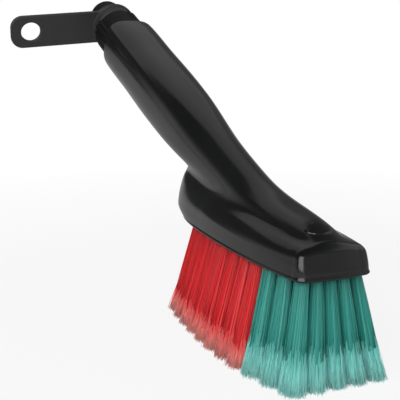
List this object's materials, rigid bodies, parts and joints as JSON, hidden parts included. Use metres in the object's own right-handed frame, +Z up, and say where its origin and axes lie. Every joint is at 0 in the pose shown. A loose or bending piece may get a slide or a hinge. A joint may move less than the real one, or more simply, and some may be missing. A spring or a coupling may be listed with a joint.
{
  "type": "hand scrub brush",
  "caption": "Hand brush with a slanted rounded grip that flows into a boat-shaped block, two fields of flared bristles, and a flat hanging strap that turns on the end of the grip.",
  "frame": {"origin": "on the plane of the bristle tips, at the tip of the middle strand, under the middle of the bristle field", "axes": "+X along the brush towards the nose, +Z up from the bristle tips, +Y to the left of someone who looks along +X"},
  "size_m": [0.3481, 0.1134, 0.1845],
  "materials": {
    "black_plastic": "satin moulded plastic with soft highlights",
    "strap_plastic": "matte flexible plastic",
    "red_fibre": "split-end plastic filaments with paler tips",
    "green_fibre": "split-end plastic filaments with paler tips",
    "staple_steel": "plain drawn wire"
  },
  "bodies": {
    "brush": {"brush_body": "black_plastic", "green_bristles": "green_fibre", "red_bristles": "red_fibre", "end_collar": "black_plastic", "end_spigot": "black_plastic", "spigot_tip": "black_plastic", "tuft_staple_01": "staple_steel", "tuft_staple_02": "staple_steel", "tuft_staple_03": "staple_steel", "tuft_staple_04": "staple_steel", "tuft_staple_05": "staple_steel", "tuft_staple_06": "staple_steel", "tuft_staple_07": "staple_steel", "tuft_staple_08": "staple_steel", "tuft_staple_09": "staple_steel", "tuft_staple_10": "staple_steel", "tuft_staple_11": "staple_steel", "tuft_staple_12": "staple_steel", "tuft_staple_13": "staple_steel", "tuft_staple_14": "staple_steel", "tuft_staple_15": "staple_steel", "tuft_staple_16": "staple_steel", "tuft_staple_17": "staple_steel", "tuft_staple_18": "staple_steel", "tuft_staple_19": "staple_steel", "tuft_staple_20": "staple_steel", "tuft_staple_21": "staple_steel", "tuft_staple_22": "staple_steel", "tuft_staple_23": "staple_steel", "tuft_staple_24": "staple_steel", "tuft_staple_25": "staple_steel", "tuft_staple_26": "staple_steel", "tuft_staple_27": "staple_steel", "tuft_staple_28": "staple_steel", "tuft_staple_29": "staple_steel", "tuft_staple_30": "staple_steel", "tuft_staple_31": "staple_steel", "tuft_staple_32": "staple_steel", "tuft_staple_33": "staple_steel", "tuft_staple_34": "staple_steel", "tuft_staple_35": "staple_steel", "tuft_staple_36": "staple_steel", "tuft_staple_37": "staple_steel", "tuft_staple_38": "staple_steel", "tuft_staple_39": "staple_steel", "tuft_staple_40": "staple_steel", "tuft_staple_41": "staple_steel", "tuft_staple_42": "staple_steel", "tuft_staple_43": "staple_steel", "tuft_staple_44": "staple_steel", "tuft_staple_45": "staple_steel", "tuft_staple_46": "staple_steel", "tuft_staple_47": "staple_steel", "tuft_staple_48": "staple_steel", "tuft_staple_49": "staple_steel", "tuft_staple_50": "staple_steel", "tuft_staple_51": "staple_steel", "tuft_staple_52": "staple_steel", "tuft_staple_53": "staple_steel"},
    "strap": {"hang_strap": "strap_plastic"}
  },
  "joints": [
    {"name": "strap_swivel", "type": "hinge", "parent": "brush", "child": "strap", "pos_m": [-0.25187, 0, 0.16561], "axis": [-0.9272, 0, 0.3746], "continuous": true}
  ]
}
